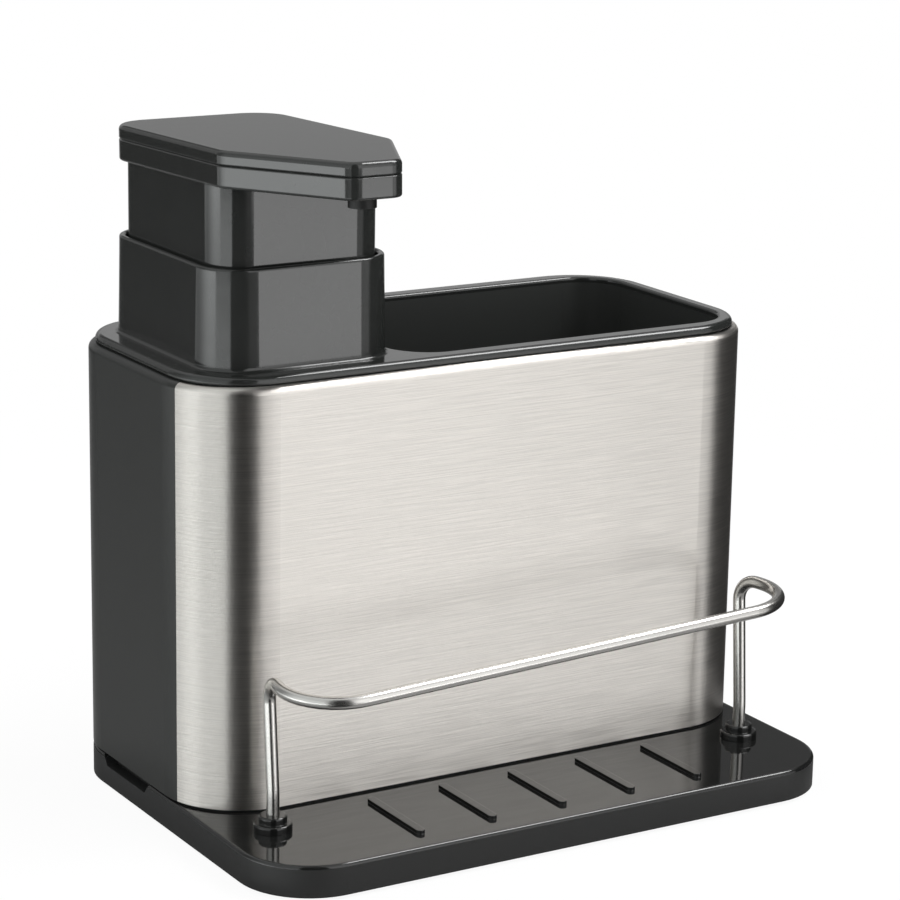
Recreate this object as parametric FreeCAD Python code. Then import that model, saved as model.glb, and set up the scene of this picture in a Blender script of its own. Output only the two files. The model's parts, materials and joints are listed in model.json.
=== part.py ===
import FreeCAD, Part
import math
import os
from FreeCAD import Vector

# A sink caddy: a soap pump in a tank, an open utensil bin, and a front tray with a wire rail.
# Millimetres, +Z up. The origin is on the counter, under the middle of the whole footprint.
# X runs across the front, from the pump's side to the bin's side, and the tray faces -Y.

# Body and base
body_width = 180.0
body_depth = 86.5
body_height = 115.9
body_corner_radius = 23.0
tray_reach = 42.0
tray_corner_radius = 20.5
base_height = 8.7
foot_proud = 1.0

# Base tray
base_wall = 2.2
base_edge_radius = 1.0
tray_plate = 2.4
basin_floor = 2.2
basin_floor_raise = 1.4
lip_height = 4.0
lip_wall = 1.8
lip_clearance = 0.3
notch_length = 29.0
notch_floor_length = 24.0
notch_height = 3.1
notch_depth = 3.6
notch_offset = 4.2
drain_rib_count = 5
drain_rib_pitch = 22.2
drain_rib_offset = 1.7
drain_rib_width = 2.4
drain_rib_height = 1.0
drain_rib_front_margin = 8.0
drain_rib_back_margin = 6.0
stiffener_count = 6
stiffener_side_margin = 26.0
stiffener_wall = 1.6
stiffener_height = 3.4

# Rubber feet
foot_diameter = 11.0
foot_thickness = 2.2
foot_edge_chamfer = 0.4
foot_boss_wall = 1.6
foot_side_margin = 17.0
foot_front_margin = 14.0
foot_clearance = 0.1

# Wire rail with its ferrules and push nuts
rail_wire = 3.5
rail_height_left = 39.9
rail_height_right = 47.0
left_arm_fall = 1.6
rail_lean = 2.6
rail_front_margin = 6.0
post_side_margin = 14.6
post_from_body = 12.0
post_straight = 10.0
post_tail = 4.0
bar_overhang_left = 4.5
bar_overhang_right = 5.8
rail_splay_radius = 30.0
rail_knee_radius = 6.0
rail_corner_share = 0.6
ferrule_diameter = 10.4
ferrule_step = 2.1
ferrule_top_diameter = 7.6
ferrule_top_step = 2.0
ferrule_edge_radius = 0.6
ferrule_shank_diameter = 6.6
ferrule_clearance = 0.05
push_nut_diameter = 10.0
push_nut_thickness = 0.6
push_nut_dish = 0.8
push_nut_gap = 0.1

# Housing and its steel wrap
housing_wall = 2.4
housing_edge_radius = 2.0
frame_thickness = 2.4
frame_width = 4.2
steel_thickness = 0.5
steel_bond = 0.06
steel_reach = 16.8
foot_shadow_height = 0.6
foot_shadow_depth = 0.8

# Insert with its deck, collar and utensil bin, and the soap tank under the collar
deck_inset = 1.9
deck_thickness = 2.4
deck_edge_radius = 1.6
deck_shadow_height = 0.5
deck_shadow_depth = 0.8
collar_width = 54.4
collar_side_margin = 9.3
collar_end_margin = 9.25
collar_height = 27.0
collar_corner_radius = 12.0
collar_wall = 1.8
collar_draft = 0.5
collar_rim_radius = 0.7
collar_foot_radius = 1.0
tank_wall = 1.8
tank_ledge_width = 2.0
tank_ledge_drop = 3.5
tank_shelf = 2.0
tank_floor = 2.0
tank_draft = 1.0
tank_raise = 5.0
bin_margin = 8.0
bin_side_margin = 6.6
bin_collar_gap = 1.9
bin_corner_radius = 13.0
bin_wall = 1.6
bin_floor = 2.0
bin_draft = 1.0
bin_raise = 6.0
bin_edge_radius = 0.9
drain_slot_count = 5
drain_slot_width = 3.0
drain_slot_length = 36.0
drain_slot_pitch = 16.0

# Pump closure
gasket_thickness = 1.5
closure_thickness = 2.5
closure_clearance = 0.25
spigot_depth = 4.0
spigot_wall = 1.6
turret_height = 4.0
turret_wall = 1.8
lock_ring_wall = 1.9
lock_ring_top = 2.0
lock_ring_lift = 0.5
chaplet_length = 9.0

# Pump works
press_travel = 16.0
running_clearance = 0.08
press_clearance = 0.03
cylinder_bore = 13.0
cylinder_wall = 1.5
cylinder_flange = 2.5
cylinder_flange_thickness = 1.6
cylinder_clearance = 0.15
cylinder_margin = 2.0
stem_diameter = 7.2
stem_bore = 4.0
stem_foot_diameter = 9.6
stem_foot_thickness = 1.4
stem_shoulder_diameter = 8.8
stem_shoulder_thickness = 1.2
stem_rest_gap = 0.5
piston_height = 7.0
piston_lip = 1.8
piston_lip_wall = 0.9
inlet_ball_diameter = 6.0
inlet_ball_lift = 1.5
inlet_port_diameter = 3.6
ball_gap = 0.03
ball_cage_clearance = 0.35
ball_cage_bead = 0.5
ball_cage_bead_height = 0.8
dip_tube_diameter = 6.0
dip_tube_wall = 0.9
dip_tube_floor_gap = 4.0
dip_socket_depth = 8.0
dip_socket_wall = 1.5
spring_wire = 1.2
spring_diameter = 11.2
spring_turns = 8
spring_seat_gap = 0.05

# Pump head
head_side_inset = 1.8
head_back_overhang = 2.5
head_shoulder_setback = 1.6
head_tip_reach = 35.0
head_tip_width = 14.4
head_rise_deg = 1.5
head_clear = 20.6
head_body_height = 5.9
head_cap_height = 3.8
head_wall = 1.8
head_cap_roof = 2.0
head_back_radius = 11.0
head_shoulder_radius = 7.0
head_tip_radius = 4.8
head_edge_radius = 1.4
head_under_radius = 0.7
head_seam_chamfer = 0.35
cap_lip_height = 2.0
cap_lip_wall = 1.2
cap_lip_clearance = 0.15
skirt_inset = 2.5
skirt_wall = 1.8
skirt_bottom_clear = 2.5
boss_diameter = 13.0
boss_drop = 9.5
boss_rise = 7.0
stem_seat_raise = 0.2
outlet_chamber_diameter = 5.8
outlet_ball_diameter = 5.0
outlet_ball_lift = 1.5
outlet_raise = 4.7
outlet_port_diameter = 2.4
hose_stub_diameter = 3.6
hose_stub_length = 4.5
hose_wall = 0.8
hose_end_gap = 0.3
nozzle_setback = 8.0
nozzle_diameter = 7.4
nozzle_drop = 2.9
nozzle_bore = 3.4
nozzle_flange_diameter = 10.4
nozzle_flange_thickness = 0.7
nozzle_body_diameter = 6.8
nozzle_body_height = 7.2
nozzle_clearance = 0.05

# How far cuts run past a face, and how near two heights count as equal
overrun = 2.0
same_height = 0.001

# Places worked out from the sizes above
half_width = body_width / 2
total_depth = tray_reach + body_depth
tray_front_y = -total_depth / 2
body_front_y = tray_front_y + tray_reach
body_back_y = total_depth / 2
collar_depth = body_depth - 2 * collar_end_margin
pump_x = -half_width + collar_side_margin + collar_width / 2
pump_y = (body_front_y + body_back_y) / 2

base_bottom_z = foot_proud
base_top_z = base_bottom_z + base_height
plate_under_z = base_top_z - tray_plate
basin_under_z = base_bottom_z + basin_floor_raise
basin_floor_z = basin_under_z + basin_floor
housing_top_z = base_top_z + body_height
deck_top_z = housing_top_z + deck_thickness
collar_top_z = deck_top_z + collar_height
ledge_z = deck_top_z - tank_ledge_drop
shelf_under_z = ledge_z - tank_shelf
tank_bottom_z = base_top_z + tank_raise
tank_floor_z = tank_bottom_z + tank_floor
bin_bottom_z = base_top_z + bin_raise
bin_floor_z = bin_bottom_z + bin_floor

closure_bottom_z = ledge_z + gasket_thickness
closure_top_z = closure_bottom_z + closure_thickness
turret_top_z = closure_top_z + turret_height
lock_top_z = turret_top_z + lock_ring_top
chaplet_bottom_z = turret_top_z - chaplet_length
stem_shoulder_z = chaplet_bottom_z - stem_rest_gap - stem_shoulder_thickness
piston_bottom_z = stem_shoulder_z - piston_height
stem_bottom_z = piston_bottom_z - stem_foot_thickness
cylinder_floor_z = stem_bottom_z - press_travel - cylinder_margin
head_z = collar_top_z + head_clear
boss_bottom_z = head_z - boss_drop
stem_top_z = head_z + stem_seat_raise
skirt_bottom_z = closure_top_z + press_travel + skirt_bottom_clear
head_side = collar_width / 2 - head_side_inset
head_back_y = pump_y + collar_depth / 2 + head_back_overhang
head_shoulder_y = pump_y - collar_depth / 2 + head_shoulder_setback
head_tip_y = pump_y - collar_depth / 2 - head_tip_reach
nozzle_y = head_tip_y + nozzle_setback

body_bounds = (-half_width, half_width, body_front_y, body_back_y)
base_bounds = (-half_width, half_width, tray_front_y, body_back_y)
collar_bounds = (
    pump_x - collar_width / 2,
    pump_x + collar_width / 2,
    pump_y - collar_depth / 2,
    pump_y + collar_depth / 2,
)
bin_bounds = (
    collar_bounds[1] + bin_collar_gap,
    half_width - bin_side_margin,
    body_front_y + bin_margin,
    body_back_y - bin_margin,
)


def shrink(bounds, amount):
    """Plan bounds moved inwards on every side, or outwards for a negative amount."""
    x_low, x_high, y_low, y_high = bounds
    return (x_low + amount, x_high - amount, y_low + amount, y_high - amount)


def rectangle(bounds):
    x_low, x_high, y_low, y_high = bounds
    return [(x_low, y_low), (x_high, y_low), (x_high, y_high), (x_low, y_high)]


def corner_arc(before, corner, after, radius):
    """Start, middle and end of the arc that rounds one corner of a path."""
    back = (before - corner).normalize()
    ahead = (after - corner).normalize()
    half_angle = back.getAngle(ahead) / 2
    reach = radius / math.tan(half_angle)
    bisector = (back + ahead).normalize()
    middle = corner + bisector * (radius / math.sin(half_angle) - radius)
    return corner + back * reach, middle, corner + ahead * reach


def rounded_outline(points, radii, z):
    """Closed wire at one height through a polygon's corners, each with its own radius."""
    corners = [Vector(x, y, z) for x, y in points]
    count = len(corners)
    arcs = []
    for i in range(count):
        arcs.append(corner_arc(corners[i - 1], corners[i], corners[(i + 1) % count], radii[i]))
    edges = []
    for i in range(count):
        start, middle, end = arcs[i]
        edges.append(Part.Arc(start, middle, end).toShape())
        edges.append(Part.LineSegment(end, arcs[(i + 1) % count][0]).toShape())
    return Part.Wire(edges)


def plate(points, radii, z_low, z_high):
    face = Part.Face(rounded_outline(points, radii, z_low))
    return face.extrude(Vector(0, 0, z_high - z_low))


def rounded_block(bounds, radius, z_low, z_high):
    return plate(rectangle(bounds), [radius] * 4, z_low, z_high)


def drafted_block(bounds_low, radius_low, z_low, bounds_high, radius_high, z_high):
    low = rounded_outline(rectangle(bounds_low), [radius_low] * 4, z_low)
    high = rounded_outline(rectangle(bounds_high), [radius_high] * 4, z_high)
    return Part.makeLoft([low, high], True, True)


def frame(bounds, radius, wall, z_low, z_high):
    """Rounded rectangular ring with a steady wall."""
    outer = rounded_block(bounds, radius, z_low, z_high)
    inner = rounded_block(shrink(bounds, wall), radius - wall, z_low - overrun, z_high + overrun)
    return outer.cut(inner)


def box(bounds, z_low, z_high):
    x_low, x_high, y_low, y_high = bounds
    return Part.makeBox(x_high - x_low, y_high - y_low, z_high - z_low, Vector(x_low, y_low, z_low))


def post(radius, x, y, z_low, z_high):
    return Part.makeCylinder(radius, z_high - z_low, Vector(x, y, z_low))


def round_bar(x, y_low, y_high, width, z_low, z_high):
    """Upright slab along Y with half-round ends."""
    radius = width / 2
    bar = box((x - radius, x + radius, y_low + radius, y_high - radius), z_low, z_high)
    return bar.multiFuse([post(radius, x, y, z_low, z_high) for y in (y_low + radius, y_high - radius)])


def turned(profile, x, y):
    """Solid of revolution about an upright axis, from a closed profile of (radius, height) points."""
    points = [Vector(x + r, y, z) for r, z in profile]
    face = Part.Face(Part.makePolygon(points + points[:1]))
    return face.revolve(Vector(x, y, 0), Vector(0, 0, 1), 360)


def edges_at(shape, z, bounds):
    """Level edges at one height whose middles lie within plan bounds."""
    x_low, x_high, y_low, y_high = bounds
    found = []
    for edge in shape.Edges:
        level = edge.BoundBox
        middle = level.Center
        at_height = abs(level.ZMin - z) < same_height and abs(level.ZMax - z) < same_height
        if at_height and x_low < middle.x < x_high and y_low < middle.y < y_high:
            found.append(edge)
    return found


def is_circle(edge, radius):
    return hasattr(edge.Curve, "Radius") and abs(edge.Curve.Radius - radius) < same_height


def lay_along_y(solid, x, y, z):
    """Turns a solid built upright at the origin so that its axis points to -Y, and puts it in place."""
    laid = solid.copy()
    laid.rotate(Vector(0, 0, 0), Vector(1, 0, 0), 90)
    laid.translate(Vector(x, y, z))
    return laid


def foot_places():
    side = half_width - foot_side_margin
    front = tray_front_y + foot_front_margin
    back = body_back_y - foot_side_margin
    return {
        "foot_front_left": (-side, front),
        "foot_front_right": (side, front),
        "foot_back_left": (-side, back),
        "foot_back_right": (side, back),
    }


def post_places():
    x = half_width - post_side_margin
    y = body_front_y - post_from_body
    return {"left": (-x, y), "right": (x, y)}


def base_shell():
    """Outer plate of the base, hollow below the tray and with a drip basin below the body."""
    radii = [tray_corner_radius, tray_corner_radius, body_corner_radius, body_corner_radius]
    shell = plate(rectangle(base_bounds), radii, base_bottom_z, base_top_z)
    shell = shell.makeFillet(base_edge_radius, edges_at(shell, base_top_z, shrink(base_bounds, -overrun)))
    inside = shrink(base_bounds, base_wall)
    inner_radii = [radius - base_wall for radius in radii]
    hollow = plate(rectangle(inside), inner_radii, base_bottom_z - overrun, plate_under_z)
    tray_zone = (inside[0], inside[1], inside[2], body_front_y - base_wall)
    shell = shell.cut(hollow.common(box(tray_zone, base_bottom_z - overrun, base_top_z)))
    basin_inset = housing_wall + lip_clearance + lip_wall
    basin_bounds = shrink(body_bounds, basin_inset)
    basin_radius = body_corner_radius - basin_inset
    shell = shell.cut(rounded_block(basin_bounds, basin_radius, basin_floor_z, base_top_z + overrun))
    return shell.cut(rounded_block(basin_bounds, basin_radius, base_bottom_z - overrun, basin_under_z))


def locating_lip():
    inset = housing_wall + lip_clearance
    bounds = shrink(body_bounds, inset)
    return frame(bounds, body_corner_radius - inset, lip_wall, base_top_z, base_top_z + lip_height)


def finger_notch(side):
    """Slant-ended finger recess in the base's upper edge, on the side given by -1 or 1."""
    outer_x = side * (half_width + overrun)
    inner_x = side * (half_width - notch_depth)
    top = notch_length / 2
    floor = notch_floor_length / 2
    slope = (top - floor) / notch_height
    over = top + slope * overrun
    floor_z = base_top_z - notch_height
    over_z = base_top_z + overrun
    section = [(-floor, floor_z), (floor, floor_z), (over, over_z), (-over, over_z)]
    points = [Vector(outer_x, pump_y + notch_offset + y, z) for y, z in section]
    face = Part.Face(Part.makePolygon(points + points[:1]))
    return face.extrude(Vector(inner_x - outer_x, 0, 0))


def drain_ribs():
    """Low bars with round ends that keep wet things off the tray."""
    y_low = tray_front_y + drain_rib_front_margin
    y_high = body_front_y - drain_rib_back_margin
    ribs = []
    for i in range(drain_rib_count):
        x = drain_rib_offset + (i - (drain_rib_count - 1) / 2) * drain_rib_pitch
        ribs.append(round_bar(x, y_low, y_high, drain_rib_width, base_top_z, base_top_z + drain_rib_height))
    return ribs


def stiffeners():
    """Webs under the tray's plate, from the front wall to the body's cross wall."""
    webs = []
    pitch = (body_width - 2 * stiffener_side_margin) / (stiffener_count - 1)
    for i in range(stiffener_count):
        x = -half_width + stiffener_side_margin + i * pitch
        half_wall = stiffener_wall / 2
        bounds = (x - half_wall, x + half_wall, tray_front_y + base_wall, body_front_y - base_wall)
        webs.append(box(bounds, plate_under_z - stiffener_height, plate_under_z))
    return webs


def base_tray():
    tray = base_shell().multiFuse([locating_lip()] + drain_ribs() + stiffeners())
    for side in (-1, 1):
        tray = tray.cut(finger_notch(side))
    pocket_radius = foot_diameter / 2 + foot_clearance
    pocket_roof_z = foot_thickness
    for name, (x, y) in foot_places().items():
        roof_z = plate_under_z if "front" in name else basin_under_z
        tray = tray.fuse(post(pocket_radius + foot_boss_wall, x, y, base_bottom_z, roof_z))
        tray = tray.cut(post(pocket_radius, x, y, base_bottom_z - overrun, pocket_roof_z))
    for x, y in post_places().values():
        hole = ferrule_shank_diameter / 2 + ferrule_clearance
        tray = tray.cut(post(hole, x, y, plate_under_z - stiffener_height - overrun, base_top_z + overrun))
    return tray.removeSplitter()


def foot(x, y):
    radius = foot_diameter / 2
    pad = post(radius, x, y, 0, foot_thickness)
    bounds = (x - radius, x + radius, y - radius, y + radius)
    return pad.makeChamfer(foot_edge_chamfer, edges_at(pad, 0, bounds))


def wire_rail():
    """One wire bent as post, arm, bar, arm, post, leaning back and higher on the bin's side."""
    bar_y = tray_front_y + rail_front_margin
    left_z = base_top_z + rail_height_left
    right_z = base_top_z + rail_height_right
    sides = {
        "left": (left_z + left_arm_fall, left_z, -bar_overhang_left),
        "right": (right_z, right_z, bar_overhang_right),
    }
    halves = {}
    for name, (knee_z, bar_z, overhang) in sides.items():
        x, y = post_places()[name]
        halves[name] = [
            Vector(x, y, plate_under_z - post_tail),
            Vector(x, y, base_top_z + post_straight),
            Vector(x, y + rail_lean, knee_z),
            Vector(x + overhang, bar_y, bar_z),
        ]
    points = halves["left"] + halves["right"][::-1]
    corner_radius = rail_corner_share * (points[2].y - bar_y)
    radii = [rail_splay_radius, rail_knee_radius, corner_radius]
    radii = radii + radii[::-1]
    edges = []
    here = points[0]
    for i in range(1, len(points) - 1):
        start, middle, end = corner_arc(points[i - 1], points[i], points[i + 1], radii[i - 1])
        edges.append(Part.LineSegment(here, start).toShape())
        edges.append(Part.Arc(start, middle, end).toShape())
        here = end
    edges.append(Part.LineSegment(here, points[-1]).toShape())
    path = Part.Wire(edges)
    section = Part.Wire(Part.makeCircle(rail_wire / 2, points[0], Vector(0, 0, 1)))
    return path.makePipeShell([section], True, False)


def rail_ferrule(x, y):
    """Stepped bush that carries one post through the tray's plate."""
    bore = rail_wire / 2 + ferrule_clearance
    step_z = base_top_z + ferrule_step
    top_z = step_z + ferrule_top_step
    profile = [
        (bore, plate_under_z),
        (ferrule_shank_diameter / 2, plate_under_z),
        (ferrule_shank_diameter / 2, base_top_z),
        (ferrule_diameter / 2, base_top_z),
        (ferrule_diameter / 2, step_z),
        (ferrule_top_diameter / 2, step_z),
        (ferrule_top_diameter / 2, top_z),
        (bore, top_z),
    ]
    bush = turned(profile, x, y)
    for rim, z in ((ferrule_diameter / 2, step_z), (ferrule_top_diameter / 2, top_z)):
        rims = [edge for edge in edges_at(bush, z, (x - rim, x + rim, y - rim, y + rim)) if is_circle(edge, rim)]
        bush = bush.makeFillet(ferrule_edge_radius, rims)
    return bush


def rail_push_nuts():
    """Dished spring washers pushed up the posts against the ferrules, under the tray."""
    bore = rail_wire / 2 + press_clearance
    rim = push_nut_diameter / 2
    rim_z = plate_under_z - push_nut_gap
    profile = [
        (bore, rim_z - push_nut_dish - push_nut_thickness),
        (rim, rim_z - push_nut_thickness),
        (rim, rim_z),
        (bore, rim_z - push_nut_dish),
    ]
    return Part.makeCompound([turned(profile, x, y) for x, y in post_places().values()])


def body_block(inset, z_low):
    """The body's outer form, with its upper edge rolled in, moved inwards by an inset."""
    bounds = shrink(body_bounds, inset)
    top_z = housing_top_z - inset
    block = rounded_block(bounds, body_corner_radius - inset, z_low, top_z)
    return block.makeFillet(housing_edge_radius - inset, edges_at(block, top_z, shrink(bounds, -overrun)))


def steel_zone(inset, clearance, z_low):
    """Skin of the body over its front and front corners, down to a depth below the outer face."""
    zone_bounds = shrink(body_bounds, -overrun)
    zone_bounds = (zone_bounds[0], zone_bounds[1], zone_bounds[2], body_front_y + steel_reach + clearance)
    skin = body_block(0, z_low).cut(body_block(inset, z_low - overrun))
    skin = skin.common(box(zone_bounds, z_low, housing_top_z))
    flat_bounds = shrink(body_bounds, housing_edge_radius)
    flat_radius = body_corner_radius - housing_edge_radius
    flat = rounded_block(flat_bounds, flat_radius, housing_top_z - inset - overrun, housing_top_z + overrun)
    return skin.cut(flat)


def steel_wrap():
    return steel_zone(steel_thickness, 0, base_top_z + foot_shadow_height)


def housing():
    """Moulded shell, open below, with a shadow gap round its foot and a frame that carries the deck."""
    shell = body_block(0, base_top_z)
    shell = shell.cut(steel_zone(steel_thickness + steel_bond, steel_bond, base_top_z))
    cavity = rounded_block(
        shrink(body_bounds, housing_wall),
        body_corner_radius - housing_wall,
        base_top_z - overrun,
        housing_top_z - frame_thickness,
    )
    mouth = rounded_block(
        shrink(body_bounds, frame_width),
        body_corner_radius - frame_width,
        housing_top_z - frame_thickness - overrun,
        housing_top_z + overrun,
    )
    gap = frame(
        shrink(body_bounds, -overrun),
        body_corner_radius + overrun,
        overrun + foot_shadow_depth,
        base_top_z - overrun,
        base_top_z + foot_shadow_height,
    )
    return shell.cut(cavity).cut(mouth).cut(gap)


def deck():
    """Flat top plate with a round edge and a shadow gap above the housing."""
    bounds = shrink(body_bounds, deck_inset)
    radius = body_corner_radius - deck_inset
    slab = rounded_block(bounds, radius, housing_top_z, deck_top_z)
    slab = slab.makeFillet(deck_edge_radius, edges_at(slab, deck_top_z, shrink(bounds, -overrun)))
    gap = frame(
        shrink(bounds, -overrun),
        radius + overrun,
        overrun + deck_shadow_depth,
        housing_top_z - overrun,
        housing_top_z + deck_shadow_height,
    )
    return slab.cut(gap)


def collar_on_deck():
    """The deck with the pump's collar standing on it, filleted where they meet."""
    foot_bounds = shrink(collar_bounds, -collar_draft)
    foot_radius = collar_corner_radius + collar_draft
    collar = drafted_block(
        foot_bounds, foot_radius, deck_top_z, collar_bounds, collar_corner_radius, collar_top_z
    )
    joined = deck().fuse(collar).removeSplitter()
    foot_edges = edges_at(joined, deck_top_z, shrink(foot_bounds, -deck_shadow_depth))
    return joined.makeFillet(collar_foot_radius, foot_edges)


def tank_cup(wall, z_low, z_high):
    """Drafted cup below the collar, set in by the ledge's width and a wall."""
    inset = tank_ledge_width + wall
    radius = collar_corner_radius - inset
    high = shrink(collar_bounds, inset)
    low = shrink(collar_bounds, inset + tank_draft)
    return drafted_block(low, radius - tank_draft, z_low, high, radius, z_high)


def bin_cup(wall, z_low, z_high):
    """Drafted cup of the utensil bin, grown by a wall."""
    high = shrink(bin_bounds, -wall)
    low = shrink(bin_bounds, bin_draft - wall)
    radius = bin_corner_radius + wall
    return drafted_block(low, radius - bin_draft, z_low, high, radius, z_high)


def drain_slots():
    x_middle = (bin_bounds[0] + bin_bounds[1]) / 2
    y_middle = (bin_bounds[2] + bin_bounds[3]) / 2
    y_low = y_middle - drain_slot_length / 2
    y_high = y_middle + drain_slot_length / 2
    z_low = bin_bottom_z - overrun
    z_high = bin_floor_z + overrun
    slots = []
    for i in range(drain_slot_count):
        x = x_middle + (i - (drain_slot_count - 1) / 2) * drain_slot_pitch
        slots.append(round_bar(x, y_low, y_high, drain_slot_width, z_low, z_high))
    return slots


def collar_mouth(z_low):
    """Straight-sided space inside the collar, from a height up past its rim."""
    bounds = shrink(collar_bounds, collar_wall)
    return rounded_block(bounds, collar_corner_radius - collar_wall, z_low, collar_top_z + overrun)


def soap_tank():
    """Cup under the collar, welded to the deck by its rim, with a ledge for the pump's closure."""
    rim = rounded_block(collar_bounds, collar_corner_radius, shelf_under_z, housing_top_z)
    tank = rim.fuse(tank_cup(0, tank_bottom_z, shelf_under_z)).cut(collar_mouth(ledge_z))
    return tank.cut(tank_cup(tank_wall, tank_floor_z, ledge_z)).removeSplitter()


def insert():
    """One moulding: deck, collar and utensil bin."""
    body = collar_on_deck().fuse(bin_cup(bin_wall, bin_bottom_z, housing_top_z))
    body = body.cut(collar_mouth(housing_top_z - overrun))
    body = body.cut(bin_cup(0, bin_floor_z, deck_top_z)).removeSplitter()
    body = body.makeFillet(bin_edge_radius, edges_at(body, deck_top_z, shrink(bin_bounds, -same_height)))
    body = body.makeFillet(collar_rim_radius, edges_at(body, collar_top_z, shrink(collar_bounds, -overrun)))
    for slot in drain_slots():
        body = body.cut(slot)
    return body


def closure_mouth(clearance):
    """Plan bounds and corner radius of what fits in the collar with a clearance."""
    inset = collar_wall + clearance
    return shrink(collar_bounds, inset), collar_corner_radius - inset


def closure_gasket():
    bounds, radius = closure_mouth(closure_clearance)
    wall = tank_ledge_width - closure_clearance
    return frame(bounds, radius, wall, ledge_z, closure_bottom_z)


def closure_plate():
    """Plug of the tank: plate, spigot into the tank, and a turret round the pump's hole."""
    bounds, radius = closure_mouth(closure_clearance)
    plug = rounded_block(bounds, radius, closure_bottom_z, closure_top_z)
    spigot_inset = collar_wall + tank_ledge_width + tank_draft + closure_clearance
    spigot_bounds = shrink(collar_bounds, spigot_inset)
    spigot_radius = collar_corner_radius - spigot_inset
    spigot_z = closure_bottom_z - spigot_depth
    spigot = frame(spigot_bounds, spigot_radius, spigot_wall, spigot_z, closure_bottom_z)
    inner = cylinder_bore / 2 + cylinder_wall + cylinder_flange + cylinder_clearance
    turret = post(inner + turret_wall, pump_x, pump_y, closure_top_z, turret_top_z)
    turret = turret.cut(post(inner, pump_x, pump_y, closure_top_z, turret_top_z + overrun))
    hole = cylinder_bore / 2 + cylinder_wall + cylinder_clearance
    plug = plug.multiFuse([spigot, turret])
    plug = plug.cut(post(hole, pump_x, pump_y, closure_bottom_z - overrun, closure_top_z + overrun))
    return plug.removeSplitter()


def inlet_seat_z():
    """Height where the inlet port opens into the cone that seats the lower ball."""
    cage_radius = inlet_ball_diameter / 2 + ball_cage_clearance
    cone_height = cage_radius - inlet_port_diameter / 2
    return cylinder_floor_z - ball_cage_bead_height - inlet_ball_rise() - cone_height


def inlet_ball_rise():
    """Length of the cage's straight wall, from the cone to the bead that stops the ball."""
    radius = inlet_ball_diameter / 2
    cage_radius = radius + ball_cage_clearance
    bead_radius = radius - ball_cage_bead
    centre = radius * math.sqrt(2) + ball_gap - cage_radius
    return centre + inlet_ball_lift + math.sqrt(radius ** 2 - bead_radius ** 2) + ball_gap


def inlet_ball():
    radius = inlet_ball_diameter / 2
    apex_z = inlet_seat_z() - inlet_port_diameter / 2
    return Part.makeSphere(radius, Vector(pump_x, pump_y, apex_z + radius * math.sqrt(2) + ball_gap))


def pump_cylinder():
    """Chamber with a hanging flange, a caged ball seat and a socket for the dip tube."""
    bore = cylinder_bore / 2
    outer = bore + cylinder_wall
    flange = outer + cylinder_flange
    flange_top_z = closure_top_z + cylinder_flange_thickness
    port = inlet_port_diameter / 2
    cage = inlet_ball_diameter / 2 + ball_cage_clearance
    bead = inlet_ball_diameter / 2 - ball_cage_bead
    seat_z = inlet_seat_z()
    cage_z = seat_z + cage - port
    bead_z = cylinder_floor_z - ball_cage_bead_height
    socket = dip_tube_diameter / 2 + press_clearance
    socket_outer = socket + dip_socket_wall
    socket_top_z = seat_z - cylinder_wall
    socket_bottom_z = socket_top_z - dip_socket_depth
    profile = [
        (bore, flange_top_z),
        (flange, flange_top_z),
        (flange, closure_top_z),
        (outer, closure_top_z),
        (outer, cylinder_floor_z),
        (socket_outer, cylinder_floor_z - (outer - socket_outer)),
        (socket_outer, socket_bottom_z),
        (socket, socket_bottom_z),
        (socket, socket_top_z),
        (port, socket_top_z),
        (port, seat_z),
        (cage, cage_z),
        (cage, bead_z),
        (bead, bead_z),
        (bead, cylinder_floor_z),
        (bore, cylinder_floor_z),
    ]
    return turned(profile, pump_x, pump_y)


def dip_tube():
    outer = dip_tube_diameter / 2
    top_z = inlet_seat_z() - cylinder_wall
    bottom_z = tank_floor_z + dip_tube_floor_gap
    tube = post(outer, pump_x, pump_y, bottom_z, top_z)
    return tube.cut(post(outer - dip_tube_wall, pump_x, pump_y, bottom_z - overrun, top_z + overrun))


def lock_ring():
    """Cap over the turret: holds the cylinder's flange down and guides the stem."""
    stem_hole = stem_diameter / 2 + running_clearance
    chaplet = cylinder_bore / 2 - cylinder_clearance
    flange = cylinder_bore / 2 + cylinder_wall + cylinder_flange
    turret = flange + cylinder_clearance + turret_wall + cylinder_clearance
    outer = turret + lock_ring_wall
    flange_top_z = closure_top_z + cylinder_flange_thickness
    profile = [
        (stem_hole, chaplet_bottom_z),
        (chaplet, chaplet_bottom_z),
        (chaplet, flange_top_z),
        (flange, flange_top_z),
        (flange, turret_top_z),
        (turret, turret_top_z),
        (turret, closure_top_z + lock_ring_lift),
        (outer, closure_top_z + lock_ring_lift),
        (outer, lock_top_z),
        (stem_hole, lock_top_z),
    ]
    return turned(profile, pump_x, pump_y)


def pump_stem():
    """Hollow rod with a foot and a shoulder that hold the piston."""
    bore = stem_bore / 2
    rod = stem_diameter / 2
    profile = [
        (bore, stem_bottom_z),
        (stem_foot_diameter / 2, stem_bottom_z),
        (stem_foot_diameter / 2, piston_bottom_z),
        (rod, piston_bottom_z),
        (rod, stem_shoulder_z),
        (stem_shoulder_diameter / 2, stem_shoulder_z),
        (stem_shoulder_diameter / 2, stem_shoulder_z + stem_shoulder_thickness),
        (rod, stem_shoulder_z + stem_shoulder_thickness),
        (rod, stem_top_z),
        (bore, stem_top_z),
    ]
    return turned(profile, pump_x, pump_y)


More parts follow.
